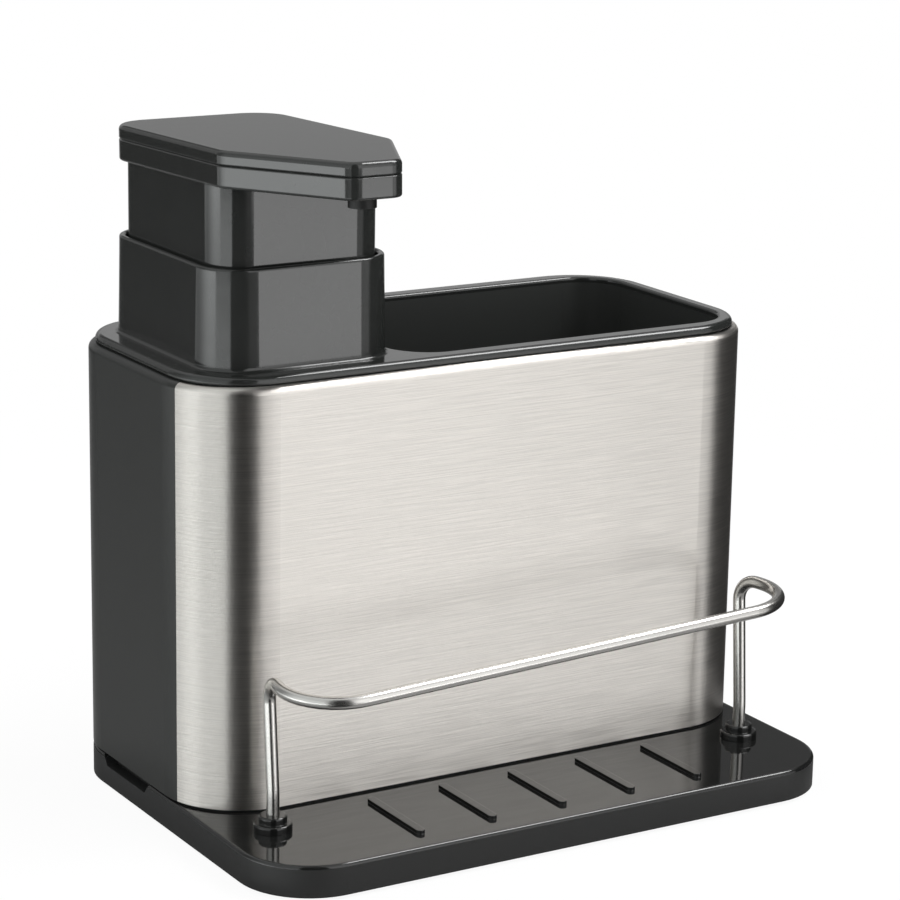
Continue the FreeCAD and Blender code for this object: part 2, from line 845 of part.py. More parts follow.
def piston():
    """Double-lipped seal on the stem."""
    inner = stem_diameter / 2 + press_clearance
    outer = cylinder_bore / 2 - running_clearance
    lip = outer - piston_lip_wall
    profile = [
        (inner, piston_bottom_z),
        (lip - piston_lip_wall, piston_bottom_z),
        (lip - piston_lip_wall, piston_bottom_z + piston_lip),
        (lip, piston_bottom_z),
        (outer, piston_bottom_z),
        (outer, stem_shoulder_z),
        (lip, stem_shoulder_z),
        (lip - piston_lip_wall, stem_shoulder_z - piston_lip),
        (lip - piston_lip_wall, stem_shoulder_z),
        (inner, stem_shoulder_z),
    ]
    return turned(profile, pump_x, pump_y)


def biarc(start, start_tangent, end, end_tangent):
    """Two arcs that leave and arrive along given tangents."""
    chord = end - start
    tangents = start_tangent + end_tangent
    along = chord.dot(tangents)
    spare = 2 * (1 - start_tangent.dot(end_tangent))
    reach = (math.sqrt(along ** 2 + spare * chord.dot(chord)) - along) / spare
    near = start + start_tangent * reach
    far = end - end_tangent * reach
    joint = (near + far) * 0.5
    arcs = []
    for first, corner, last in ((start, near, joint), (joint, far, end)):
        half_turn = (corner - first).getAngle(last - corner) / 2
        foot = (first + last) * 0.5
        rise = math.tan(half_turn / 2) / math.tan(half_turn)
        arcs.append(Part.Arc(first, foot + (corner - foot) * rise, last).toShape())
    return arcs


def print_least_gap(path):
    """Measures, on points along the coil, how near its wire comes to the turn beside it."""
    points_per_turn = 36
    points = path.discretize(spring_turns * points_per_turn + 1)
    spans = range(points_per_turn // 2, points_per_turn + points_per_turn // 2)
    nearest = min((points[i + k] - points[i]).Length for k in spans for i in range(len(points) - k))
    print("return_spring least gap to itself: %.2f mm" % (nearest - spring_wire))


def return_spring():
    """Coil round the stem, between the lock ring and the head's boss, wound in quarter turns."""
    radius = spring_diameter / 2
    low_z = lock_top_z + spring_wire / 2 + spring_seat_gap
    high_z = boss_bottom_z - spring_wire / 2 - spring_seat_gap
    climb = (high_z - low_z) / (spring_turns * 2 * math.pi)

    def point(angle):
        across = radius * math.cos(angle)
        along = radius * math.sin(angle)
        return Vector(pump_x + across, pump_y + along, low_z + climb * angle)

    def tangent(angle):
        return Vector(-radius * math.sin(angle), radius * math.cos(angle), climb).normalize()

    edges = []
    for i in range(spring_turns * 4):
        here = i * math.pi / 2
        there = here + math.pi / 2
        edges.extend(biarc(point(here), tangent(here), point(there), tangent(there)))
    path = Part.Wire(edges)
    print_least_gap(path)
    section = Part.Wire(Part.makeCircle(spring_wire / 2, point(0), tangent(0)))
    return path.makePipeShell([section], True, False)


def inset_points(points, amount):
    """Corners of a convex polygon, listed anticlockwise, with every side moved inwards."""
    moved = []
    count = len(points)
    for i in range(count):
        corner = Vector(points[i][0], points[i][1], 0)
        before = (Vector(points[i - 1][0], points[i - 1][1], 0) - corner).normalize()
        after = (Vector(points[(i + 1) % count][0], points[(i + 1) % count][1], 0) - corner).normalize()
        half_angle = before.getAngle(after) / 2
        corner = corner + (before + after).normalize() * (amount / math.sin(half_angle))
        moved.append((corner.x, corner.y))
    return moved


def head_plate(inset, z_low, z_high):
    """Slab of the head's outline: straight back and sides, then tapered to the tip over the tray."""
    tip = head_tip_width / 2
    points = [
        (pump_x - tip, head_tip_y),
        (pump_x + tip, head_tip_y),
        (pump_x + head_side, head_shoulder_y),
        (pump_x + head_side, head_back_y),
        (pump_x - head_side, head_back_y),
        (pump_x - head_side, head_shoulder_y),
    ]
    corner_radii = [head_tip_radius, head_tip_radius, head_shoulder_radius]
    corner_radii = corner_radii + [head_back_radius, head_back_radius, head_shoulder_radius]
    radii = [radius - inset for radius in corner_radii]
    return plate(inset_points(points, inset), radii, z_low, z_high)


def head_bounds():
    side = head_side + overrun
    return (pump_x - side, pump_x + side, head_tip_y - overrun, head_back_y + overrun)


def tip_up(solid):
    """Leans a piece of the head so that its tip stands a little higher than its back."""
    leaned = solid.copy()
    leaned.rotate(Vector(pump_x, pump_y, head_z), Vector(1, 0, 0), -head_rise_deg)
    return leaned


def outlet_rod(diameter, y_back, y_front):
    """Round bar along the line on which the soap runs forward through the head."""
    rod = Part.makeCylinder(diameter / 2, y_back - y_front)
    return lay_along_y(rod, pump_x, y_back, head_z + outlet_raise)


def head_body():
    """Lower half of the head: shallow tray, skirt that slides in the collar, and the stem's boss."""
    seam_z = head_z + head_body_height
    floor_z = head_z + head_wall
    shell = head_plate(0, head_z, seam_z)
    shell = shell.makeFillet(head_under_radius, edges_at(shell, head_z, head_bounds()))
    shell = shell.makeChamfer(head_seam_chamfer, edges_at(shell, seam_z, head_bounds()))
    shell = shell.cut(head_plate(head_wall, floor_z, seam_z + overrun))
    nozzle_hole = nozzle_diameter / 2 + nozzle_clearance
    shell = shell.cut(post(nozzle_hole, pump_x, nozzle_y, head_z - overrun, floor_z + overrun))
    above = tip_up(head_plate(head_wall, head_z + head_wall / 2, seam_z + head_cap_height))
    skirt_bounds = shrink(collar_bounds, skirt_inset)
    skirt_radius = collar_corner_radius - skirt_inset
    skirt = frame(skirt_bounds, skirt_radius, skirt_wall, skirt_bottom_z, floor_z).cut(above)
    boss_radius = boss_diameter / 2
    boss = post(boss_radius, pump_x, pump_y, boss_bottom_z, head_z + boss_rise)
    stub_end_y = pump_y - boss_radius - hose_stub_length
    stub = tip_up(outlet_rod(hose_stub_diameter, pump_y, stub_end_y))
    body = tip_up(shell).multiFuse([skirt, boss, stub])
    socket = post(stem_diameter / 2 + press_clearance, pump_x, pump_y, boss_bottom_z - overrun, stem_top_z)
    chamber_top_z = stem_top_z + outlet_ball_rise() + outlet_ball_diameter / 2 + outlet_ball_lift + ball_gap
    chamber = post(outlet_chamber_diameter / 2, pump_x, pump_y, stem_top_z, chamber_top_z)
    drill = tip_up(outlet_rod(outlet_port_diameter, pump_y, stub_end_y - overrun))
    return body.cut(socket).cut(chamber).cut(drill).removeSplitter()


def head_cap():
    """Top plate of the head with a round upper edge and a lip that plugs into the lower half."""
    seam_z = head_z + head_body_height
    top_z = seam_z + head_cap_height
    cap = head_plate(0, seam_z, top_z)
    cap = cap.makeFillet(head_edge_radius, edges_at(cap, top_z, head_bounds()))
    cap = cap.makeChamfer(head_seam_chamfer, edges_at(cap, seam_z, head_bounds()))
    lip_inset = head_wall + cap_lip_clearance
    lip = head_plate(lip_inset, seam_z - cap_lip_height, seam_z)
    hollow = head_plate(lip_inset + cap_lip_wall, seam_z - cap_lip_height - overrun, top_z - head_cap_roof)
    return tip_up(cap.fuse(lip).cut(hollow).removeSplitter())


def outlet_ball_rise():
    """Height of the upper ball's centre above the stem's end, where it closes the stem's bore."""
    return math.sqrt((outlet_ball_diameter / 2) ** 2 - (stem_bore / 2) ** 2) + ball_gap


def outlet_ball():
    centre = Vector(pump_x, pump_y, stem_top_z + outlet_ball_rise())
    return Part.makeSphere(outlet_ball_diameter / 2, centre)


def nozzle():
    """Spout through the floor of the head's tip, with a flange inside and a spigot for the tube."""
    floor_z = head_z + head_wall
    flange_z = floor_z + nozzle_flange_thickness
    body = nozzle_body_diameter / 2
    bore = nozzle_bore / 2
    profile = [
        (0, head_z - nozzle_drop),
        (nozzle_diameter / 2, head_z - nozzle_drop),
        (nozzle_diameter / 2, floor_z),
        (nozzle_flange_diameter / 2, floor_z),
        (nozzle_flange_diameter / 2, flange_z),
        (body, flange_z),
        (body, head_z + nozzle_body_height),
        (0, head_z + nozzle_body_height),
    ]
    stub_end_y = nozzle_y + body + hose_stub_length
    stub = outlet_rod(hose_stub_diameter, stub_end_y, nozzle_y + bore)
    spout = turned(profile, pump_x, nozzle_y).fuse(stub)
    bore_bottom_z = head_z - nozzle_drop - overrun
    spout = spout.cut(post(bore, pump_x, nozzle_y, bore_bottom_z, head_z + outlet_raise + bore))
    return tip_up(spout.cut(outlet_rod(outlet_port_diameter, stub_end_y + overrun, nozzle_y)))


def delivery_tube():
    start_y = pump_y - boss_diameter / 2 - hose_end_gap
    end_y = nozzle_y + nozzle_flange_diameter / 2 + hose_end_gap
    bore = hose_stub_diameter / 2 + press_clearance
    tube = Part.makeCylinder(bore + hose_wall, start_y - end_y)
    tube = tube.cut(Part.makeCylinder(bore, start_y - end_y))
    return tip_up(lay_along_y(tube, pump_x, start_y, head_z + outlet_raise))


def build():
    pieces = {
        "base_tray": base_tray(),
        "wire_rail": wire_rail(),
        "rail_push_nuts": rail_push_nuts(),
        "housing": housing(),
        "steel_wrap": steel_wrap(),
        "insert": insert(),
        "soap_tank": soap_tank(),
        "closure_plate": closure_plate(),
        "closure_gasket": closure_gasket(),
        "pump_cylinder": pump_cylinder(),
        "lock_ring": lock_ring(),
        "dip_tube": dip_tube(),
        "inlet_ball": inlet_ball(),
        "pump_stem": pump_stem(),
        "piston": piston(),
        "return_spring": return_spring(),
        "outlet_ball": outlet_ball(),
        "head_body": head_body(),
        "head_cap": head_cap(),
        "nozzle": nozzle(),
        "delivery_tube": delivery_tube(),
    }
    for name, (x, y) in foot_places().items():
        pieces[name] = foot(x, y)
    for side, (x, y) in post_places().items():
        pieces["rail_ferrule_" + side] = rail_ferrule(x, y)
    return pieces


os.makedirs("parts", exist_ok=True)
for node, shape in build().items():
    shape.exportStep("parts/" + node + ".step")
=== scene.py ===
import json
import math
from typing import NamedTuple

import bpy
from mathutils import Matrix, Vector

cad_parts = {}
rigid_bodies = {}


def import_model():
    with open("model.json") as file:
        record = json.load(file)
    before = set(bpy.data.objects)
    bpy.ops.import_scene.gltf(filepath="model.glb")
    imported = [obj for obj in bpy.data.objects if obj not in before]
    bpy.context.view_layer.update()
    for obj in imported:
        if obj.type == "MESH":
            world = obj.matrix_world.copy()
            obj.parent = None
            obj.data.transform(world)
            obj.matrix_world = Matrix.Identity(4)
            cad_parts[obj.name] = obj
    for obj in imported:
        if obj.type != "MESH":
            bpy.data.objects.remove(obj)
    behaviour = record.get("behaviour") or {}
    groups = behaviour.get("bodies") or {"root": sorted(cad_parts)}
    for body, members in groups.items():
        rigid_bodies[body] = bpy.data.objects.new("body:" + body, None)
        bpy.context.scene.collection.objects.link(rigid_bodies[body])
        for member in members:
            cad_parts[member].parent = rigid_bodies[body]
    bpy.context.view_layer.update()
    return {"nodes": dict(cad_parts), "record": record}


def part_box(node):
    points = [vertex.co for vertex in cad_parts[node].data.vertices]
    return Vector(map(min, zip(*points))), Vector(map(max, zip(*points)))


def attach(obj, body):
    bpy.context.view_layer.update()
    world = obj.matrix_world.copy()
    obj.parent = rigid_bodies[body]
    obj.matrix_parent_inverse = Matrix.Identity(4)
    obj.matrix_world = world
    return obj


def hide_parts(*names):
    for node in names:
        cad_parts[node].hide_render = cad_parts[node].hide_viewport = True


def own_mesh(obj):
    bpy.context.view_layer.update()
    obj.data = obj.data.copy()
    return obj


for start_object in list(bpy.data.objects):
    bpy.data.objects.remove(start_object)
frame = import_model()

bl_info = {
    "name": "Sink caddy finishes",
    "version": (1, 0, 0),
    "blender": (4, 5, 0),
    "location": "3D View > Sidebar > Caddy",
    "description": "Dresses the sink caddy's parts in their finishes and lights them for a product picture",
    "category": "Object",
}

WHITE = (1.0, 1.0, 1.0, 1.0)
BEVEL_SAMPLES = 6


def shade(colour, share):
    """A share of a colour, in the form that a colour socket takes."""
    return (*(share * part for part in colour), 1.0)


def between(low, high, share):
    """A number that goes from low to high as share goes from 0 to 1."""
    return low + (high - low) * share


def around(middle, spread, noise):
    """A number that noise from 0 to 1 moves down and up by spread."""
    return between(middle - spread, middle + spread, noise)


class Term:
    """A socket that takes part in Python expressions; each operator adds a Math node."""

    def __init__(self, paint, socket):
        self.paint = paint
        self.socket = socket

    def out(self, name):
        """Another output of the same node."""
        return Term(self.paint, self.socket.node.outputs[name])

    def maths(self, operation, first, second):
        """A Math node on two values, one of them this socket."""
        return self.paint.add("ShaderNodeMath", {"operation": operation}, {0: first, 1: second})

    def __add__(self, other):
        return self.maths("ADD", self, other)

    def __radd__(self, other):
        return self.maths("ADD", other, self)

    def __sub__(self, other):
        return self.maths("SUBTRACT", self, other)

    def __rsub__(self, other):
        return self.maths("SUBTRACT", other, self)

    def __mul__(self, other):
        return self.maths("MULTIPLY", self, other)

    def __rmul__(self, other):
        return self.maths("MULTIPLY", other, self)

    def __neg__(self):
        return self.maths("MULTIPLY", self, -1.0)


class Paint:
    """A node tree that is built up by expressions."""

    def __init__(self, owner):
        owner.use_nodes = True
        self.owner = owner
        self.tree = owner.node_tree
        self.tree.nodes.clear()

    def add(self, kind, settings=None, sockets=None, out=0):
        """One node: its settings are set first, then its sockets get their values or links."""
        node = self.tree.nodes.new(kind)
        for name, value in (settings or {}).items():
            setattr(node, name, value)
        for name, value in (sockets or {}).items():
            if isinstance(value, Term):
                self.tree.links.new(value.socket, node.inputs[name])
            else:
                node.inputs[name].default_value = value
        return Term(self, node.outputs[out]) if len(node.outputs) else None

    def place(self):
        """The point on the part, in metres in the part's own frame."""
        return self.add("ShaderNodeTexCoord", out="Object")

    def axis(self, point, name):
        """One of a point's three coordinates."""
        return self.add("ShaderNodeSeparateXYZ", {}, {0: point}, out=name)

    def stretch(self, point, scale):
        """The point with each axis scaled."""
        return self.add("ShaderNodeVectorMath", {"operation": "MULTIPLY"}, {0: point, 1: scale})

    def noise(self, point, scale, detail=2.0, roughness=0.5):
        """Soft noise from 0 to 1, with scale in cycles a metre."""
        return self.add("ShaderNodeTexNoise", {}, {
            "Vector": point, "Scale": scale, "Detail": detail, "Roughness": roughness})

    def step(self, value, low, high):
        """0 below low, 1 above high, smooth between."""
        return self.add("ShaderNodeMapRange", {"interpolation_type": "SMOOTHSTEP"}, {
            "Value": value, "From Min": low, "From Max": high})

    def band(self, value, low, high, soft):
        """1 between low and high, with soft edges."""
        return self.step(value, low - soft, low + soft) * (1 - self.step(value, high - soft, high + soft))

    def mix(self, factor, first, second):
        """One colour over another; inputs 6 and 7 and output 2 are the Mix node's colours."""
        return self.add("ShaderNodeMix", {"data_type": "RGBA"}, {0: factor, 6: first, 7: second}, out=2)

    def vary(self, factor, colour, low, high):
        """A colour that goes from one share of itself to another."""
        return self.mix(factor, shade(colour, low), shade(colour, high))

    def bump(self, height, distance, edge=0.0):
        """A normal that follows a height from 0 to 1, over edges that are rounded; lengths in metres."""
        sockets = {"Height": height, "Distance": distance}
        if edge:
            sockets["Normal"] = self.add("ShaderNodeBevel", {"samples": BEVEL_SAMPLES}, {"Radius": edge})
        return self.add("ShaderNodeBump", {}, sockets)

    def surface(self, **sockets):
        """The shader itself; the socket names have _ for spaces."""
        return self.add("ShaderNodeBsdfPrincipled", {}, {
            name.replace("_", " "): value for name, value in sockets.items()})

    def choose(self, factor, first, second):
        """One shader over another."""
        return self.add("ShaderNodeMixShader", {}, {0: factor, 1: first, 2: second})

    def done(self, shader, kind="ShaderNodeOutputMaterial"):
        """Links the shader to the output and gives back the material or world."""
        self.add(kind, {}, {"Surface": shader})
        return self.owner


def new_paint(name):
    """A fresh material to paint."""
    return Paint(bpy.data.materials.new(name))


def dress(material, *nodes):
    """Gives parts their finish."""
    for node in nodes:
        part = frame["nodes"][node]
        part.material_slots[0].material = material


class StudioSettings(bpy.types.PropertyGroup):
    """The camera, the floor and the light."""
    camera_place: bpy.props.FloatVectorProperty(
        name="Camera place", description="Where the camera stands", subtype="TRANSLATION", unit="LENGTH",
        default=(-0.4309, -0.70675, 0.3090))
    camera_yaw: bpy.props.FloatProperty(
        name="Camera yaw", description="How far the camera looks to the right of straight ahead",
        subtype="ANGLE", default=math.radians(31.24))
    camera_pitch: bpy.props.FloatProperty(
        name="Camera pitch", description="How far the camera looks down", subtype="ANGLE",
        default=math.radians(14.45))
    camera_roll: bpy.props.FloatProperty(
        name="Camera roll", description="How far the camera leans", subtype="ANGLE",
        default=math.radians(-0.98))
    lens: bpy.props.FloatProperty(
        name="Lens", description="Focal length on a 36 mm sensor", default=123.36)
    floor_size: bpy.props.FloatProperty(
        name="Floor size", description="Side of the square floor", unit="LENGTH", default=6.0)
    floor_colour: bpy.props.FloatVectorProperty(
        name="Floor colour", description="Colour of the plain floor", subtype="COLOR",
        default=(0.9, 0.9, 0.9))
    floor_white: bpy.props.FloatProperty(
        name="Floor white", description="How far the camera sees the floor as plain white, over its shadow",
        subtype="FACTOR", default=0.93, min=0.0, max=1.0)
    floor_mirrored: bpy.props.FloatProperty(
        name="Floor mirrored", description="How far from the middle the floor still shows in gloss",
        unit="LENGTH", default=0.115)
    strip_level: bpy.props.FloatProperty(
        name="Strip level", description="Brightness of the low light strips in reflections", default=2.9)
    panel_level: bpy.props.FloatProperty(
        name="Panel level", description="Brightness of the panels above the strips in reflections",
        default=1.25)
    left_tint: bpy.props.FloatVectorProperty(
        name="Left tint", description="Tint of the cooler light on the pump's side in reflections",
        subtype="COLOR", default=(0.965, 0.995, 0.995))
    sky_level: bpy.props.FloatProperty(
        name="Sky level", description="Brightness overhead in reflections", default=0.75)
    open_level: bpy.props.FloatProperty(
        name="Open level", description="Brightness of the open studio in reflections", default=0.38)
    dark_level: bpy.props.FloatProperty(
        name="Dark level", description="Brightness of the black cards in reflections", default=0.03)
    ambient_level: bpy.props.FloatProperty(
        name="Ambient level", description="Light from all round on matt surfaces", default=0.45)


class SteelSettings(bpy.types.PropertyGroup):
    """The brushed wrap, the wire rail and the spring."""
    sheet_colour: bpy.props.FloatVectorProperty(
        name="Sheet colour", description="Colour of the brushed sheet", subtype="COLOR",
        default=(0.765, 0.735, 0.693))
    sheet_roughness: bpy.props.FloatProperty(
        name="Sheet roughness", description="Roughness of the brushed sheet", subtype="FACTOR",
        default=0.38, min=0.0, max=1.0)
    brush_pitch: bpy.props.FloatProperty(
        name="Brush pitch", description="Distance between the brush lines", unit="LENGTH", default=0.00042)
    brush_length: bpy.props.FloatProperty(
        name="Brush length", description="Length of a brush line", unit="LENGTH", default=0.02)
    wire_colour: bpy.props.FloatVectorProperty(
        name="Wire colour", description="Colour of the polished wire", subtype="COLOR",
        default=(0.7, 0.685, 0.66))
    wire_roughness: bpy.props.FloatProperty(
        name="Wire roughness", description="Roughness of the polished wire", subtype="FACTOR",
        default=0.22, min=0.0, max=1.0)
    spring_wire: bpy.props.FloatProperty(
        name="Spring wire", description="Diameter of the return spring's wire", unit="LENGTH",
        default=0.0012)
    spring_turns: bpy.props.IntProperty(
        name="Spring turns", description="Turns of the return spring", default=8, min=1)


class PlasticSettings(bpy.types.PropertyGroup):
    """The moulded parts."""
    shell_colour: bpy.props.FloatVectorProperty(
        name="Shell colour", description="Colour of the satin housing", subtype="COLOR",
        default=(0.0198, 0.0212, 0.02))
    gloss_colour: bpy.props.FloatVectorProperty(
        name="Gloss colour", description="Colour of the glossy insert and pump head", subtype="COLOR",
        default=(0.0185, 0.0198, 0.0188))
    tray_colour: bpy.props.FloatVectorProperty(
        name="Tray colour", description="Colour of the base tray, the ferrules and the nozzle",
        subtype="COLOR", default=(0.0095, 0.0098, 0.0095))
    edge_radius: bpy.props.FloatProperty(
        name="Edge radius", description="Rounding that the mould leaves on sharp edges", unit="LENGTH",
        default=0.0003)
    tray_gloss_height: bpy.props.FloatProperty(
        name="Tray gloss height", description="Height above which the base is polished; below it is satin",
        unit="LENGTH", default=0.0087)
    # Painted light: the bin's satin inside gets a lighter base colour that stands in for the light reaching
    # into it
    inside_painted_light: bpy.props.FloatProperty(
        name="Inside lift", description="How much lighter the bin's satin inside is than its glossy top",
        default=1.35)
    works_colour: bpy.props.FloatVectorProperty(
        name="Works colour", description="Colour of the pump's hidden natural plastic", subtype="COLOR",
        default=(0.72, 0.73, 0.72))
    rubber_colour: bpy.props.FloatVectorProperty(
        name="Rubber colour", description="Colour of the feet and seals", subtype="COLOR",
        default=(0.022, 0.022, 0.023))


def settings(name):
    """One of the property groups."""
    return getattr(bpy.context.scene, name)


class Lamp(NamedTuple):
    """A square lamp that points at the caddy, in metres and watts; gloss shows it where it is mirrored."""
    place: tuple
    size: float
    power: float
    mirrored: bool = False


LAMP_AIM = Vector((0.0, 0.0, 0.08))
LAMPS = {
    "key_lamp": Lamp((0.9, -1.3, 1.7), 1.2, 18.0),
    "edge_lamp": Lamp((0.684, -0.183, 1.090), 0.5, 7.8, mirrored=True),
    "fill_lamp": Lamp((-1.5, -0.5, 1.1), 1.2, 12.0),
    "back_lamp": Lamp((-0.4, 1.6, 1.6), 1.2, 12.0),
}


class Card(NamedTuple):
    """A card that gloss shows round the caddy; a later one hides an earlier one.

    Angles are in degrees. turn is its two ends, counted from straight in front towards the bin's side.
    lower and upper are the rises between which each of those edges fades. light names the setting of its
    brightness, share is its part of that, and fall says how it changes over the card.
    """
    turn: tuple
    lower: tuple
    upper: tuple
    light: str
    share: float
    fall: str = "even"


BIN_SIDE = (-1, 58)
PUMP_SIDE = (-148, -43)
BEHIND = (130, 180)
BACK_CORNER = (-200, -148)
# Steeper than straight down, so a card with this lower edge goes all the way down
NO_EDGE = (-92, -91)
SKY_EDGE = (25, 55)
CARD_SOFTNESS = 2
CARDS = (
    # The open studio behind the caddy, in three levels
    Card(BEHIND, (3, 5), (9.5, 11.5), "open_level", 0.9),
    Card(BEHIND, (9.5, 11.5), (13.5, 15.5), "open_level", 1.85),
    Card(BEHIND, (14.5, 16.5), (27, 29), "open_level", 0.4),
    # The tall light panels on both sides
    Card(BIN_SIDE, (-20, -17), (35, 55), "panel_level", 1.0, "bin_side"),
    Card(PUMP_SIDE, (-20, -17), (30, 50), "panel_level", 0.72, "pump_side"),
    # The low light strips in front of the panels
    Card(BIN_SIDE, (-20, -18), (-14.2, -12.2), "strip_level", 0.45, "bin_side"),
    Card((4, 52), (-14.2, -12.2), (-7, -5), "strip_level", 0.9, "bin_side"),
    Card(PUMP_SIDE, (-17, -15), (-5, -3), "strip_level", 1.25, "pump_side_low"),
    # The black card between the panels, and its low ends in front of the strips
    Card((-43, -1), NO_EDGE, (65, 80), "dark_level", 0.5),
    Card((-43, 22), (-14.2, -12.2), (-11, -9), "dark_level", 5.0),
    Card((-43, 24), (-12.1, -10.1), (-10.6, -8.6), "dark_level", 1.0),
    Card((-82, 18), (-10.6, -8.6), (-7, -5), "dark_level", 2.0),
    # The black card beyond the bin's side, and its low ends
    Card((33, 60), (-12.4, -10.4), (-10.5, -8.5), "dark_level", 5.0),
    Card((52, 130), (-13.6, -11.6), (-10.5, -8.5), "dark_level", 1.0),
    Card((58, 130), NO_EDGE, (35, 50), "dark_level", 1.0),
    # The shaded corner behind the pump
    Card(BACK_CORNER, NO_EDGE, (-2, 4), "open_level", 0.8, "back_corner"),
)
# How light changes over a card: the shares that it goes from and to, and the degrees over which it does
BIN_SIDE_FALL = (1.12, 0.57), (29, 38)
PUMP_SIDE_FALL = (0.25, 1.0), (-140, -95)
LOW_STRIP_FALL = (0.62, 1.0), (-10.6, -9.8)
BACK_CORNER_FALL = (1.0, 0.16447), (-22, -8)
FLOOR_CLOUD_SCALE = 3.0
FLOOR_CLOUD_SHARE = 0.03
FLOOR_CLOUD_COLOUR = (0.8, 0.8, 0.8, 1.0)
# Times the mirrored floor's reach: where the floor turns fully white, and where gloss stops showing it
FLOOR_WHITE_EDGE = (2.0, 4.0)
FLOOR_MIRROR_EDGE = (1.0, 1.1)
# Painted shade in the floor's reflection: where the mirrored floor turns darker on the pump's side, in
# metres, and to what share
FLOOR_PAINTED_SHADE_EDGE = (-0.1, -0.08)
FLOOR_PAINTED_SHADE_SHARE = 0.45
# Millimetres
SENSOR_WIDTH = 36.0


class CADDY_OT_stage(bpy.types.Operator):
    """Sets up the floor, the light and the camera"""
    bl_idname = "caddy.stage"
    bl_label = "Stage"

    def execute(self, context):
        studio = settings("caddy_studio")
        context.scene.view_settings.view_transform = "Standard"
        self.camera(context, studio)
        self.floor(context, studio)
        self.world(context, studio)
        for name, lamp in LAMPS.items():
            self.lamp(context, name, lamp)
        return {"FINISHED"}

    def camera(self, context, studio):
        """A camera turned by its yaw, pitch and roll."""
        yaw, pitch, roll = studio.camera_yaw, studio.camera_pitch, studio.camera_roll
        ahead = Vector((math.sin(yaw) * math.cos(pitch), math.cos(yaw) * math.cos(pitch), -math.sin(pitch)))
        level = Vector((math.cos(yaw), -math.sin(yaw), 0.0))
        down = ahead.cross(level)
        right = math.cos(roll) * level + math.sin(roll) * down
        up = math.sin(roll) * level - math.cos(roll) * down
        lens = bpy.data.cameras.new("camera")
        lens.sensor_width = SENSOR_WIDTH
        lens.lens = studio.lens
        camera = bpy.data.objects.new("camera", lens)
        turn = Matrix((right, up, -ahead)).transposed().to_4x4()
        camera.matrix_world = Matrix.Translation(studio.camera_place) @ turn
        context.scene.collection.objects.link(camera)
        context.scene.camera = camera

    def floor(self, context, studio):
        """A pale floor, nearly white to the camera; gloss shows it only close to the caddy, as a painted
        reflection that glows, darker with painted shade on the pump's side.
        """
        half = studio.floor_size / 2
        corners = [(-half, -half, 0), (half, -half, 0), (half, half, 0), (-half, half, 0)]
        sheet = bpy.data.meshes.new("floor")
        sheet.from_pydata(corners, [], [(0, 1, 2, 3)])
        floor = bpy.data.objects.new("floor", sheet)
        paint = new_paint("pale_floor")

        def glow(strength):
            return paint.add("ShaderNodeEmission", {}, {"Color": WHITE, "Strength": strength})

        path = paint.add("ShaderNodeLightPath", out="Is Camera Ray")
        place = paint.place()
        away = paint.add("ShaderNodeVectorMath", {"operation": "LENGTH"}, {0: place}, out="Value")
        cloud = paint.noise(place, FLOOR_CLOUD_SCALE)
        colour = paint.mix(FLOOR_CLOUD_SHARE * cloud, (*studio.floor_colour, 1.0), FLOOR_CLOUD_COLOUR)
        matt = paint.add("ShaderNodeBsdfDiffuse", {}, {"Color": colour})
        open_floor = paint.step(away, *(share * studio.floor_mirrored for share in FLOOR_WHITE_EDGE))
        lit = paint.choose(between(studio.floor_white, 1.0, open_floor) * path, matt, glow(1.0))
        # Painted reflection: gloss sees the floor as a glow at the open studio's level, with painted shade
        # on the pump's side
        pump_side = 1 - paint.step(paint.axis(place, "X"), *FLOOR_PAINTED_SHADE_EDGE)
        mirrored_glow = paint.choose(pump_side, glow(studio.open_level), glow(FLOOR_PAINTED_SHADE_SHARE * studio.open_level))
        far = paint.step(away, *(share * studio.floor_mirrored for share in FLOOR_MIRROR_EDGE))
        mirrored = paint.choose(far, mirrored_glow, paint.add("ShaderNodeBsdfTransparent"))
        sheet.materials.append(paint.done(paint.choose(path.out("Is Glossy Ray"), lit, mirrored)))
        context.scene.collection.objects.link(floor)

    def world(self, context, studio):
        """White to the camera, the cards to gloss, and a soft even light to the rest."""
        world = bpy.data.worlds.new("studio")
        context.scene.world = world
        paint = Paint(world)
        view = paint.add("ShaderNodeTexCoord", out="Generated")
        sides = {0: paint.axis(view, "X"), 1: -paint.axis(view, "Y")}
        turn = paint.add("ShaderNodeMath", {"operation": "ARCTAN2"}, sides)
        rise = paint.add("ShaderNodeMath", {"operation": "ARCSINE"}, {0: paint.axis(view, "Z")})

        def turned(start, end):
            return paint.step(turn, math.radians(start), math.radians(end))

        def above(start, end):
            return paint.step(rise, math.radians(start), math.radians(end))

        def sector(start, end):
            return paint.band(turn, math.radians(start), math.radians(end), math.radians(CARD_SOFTNESS))

        def over(level, mask, value):
            return level * (1 - mask) + mask * value

        def background(strength, colour=WHITE):
            return paint.add("ShaderNodeBackground", {}, {"Color": colour, "Strength": strength})

        def fall(edge, shares, angles):
            return between(*shares, edge(*angles))

        pump_side = fall(turned, *PUMP_SIDE_FALL)
        falls = {
            "even": 1.0,
            "bin_side": fall(turned, *BIN_SIDE_FALL),
            "pump_side": pump_side,
            "pump_side_low": fall(above, *LOW_STRIP_FALL) * pump_side,
            "back_corner": fall(above, *BACK_CORNER_FALL),
        }
        level = over(studio.open_level, above(*SKY_EDGE), studio.sky_level)
        for card in CARDS:
            mask = sector(*card.turn) * above(*card.lower) * (1 - above(*card.upper))
            level = over(level, mask, card.share * getattr(studio, card.light) * falls[card.fall])
        tint = paint.mix(sector(*PUMP_SIDE), WHITE, (*studio.left_tint, 1.0))
        path = paint.add("ShaderNodeLightPath", out="Is Camera Ray")
        mirror = path.out("Is Glossy Ray") + path.out("Is Transmission Ray")
        unseen = paint.choose(mirror, background(studio.ambient_level), background(level, tint))
        paint.done(paint.choose(path, unseen, background(1.0)), "ShaderNodeOutputWorld")

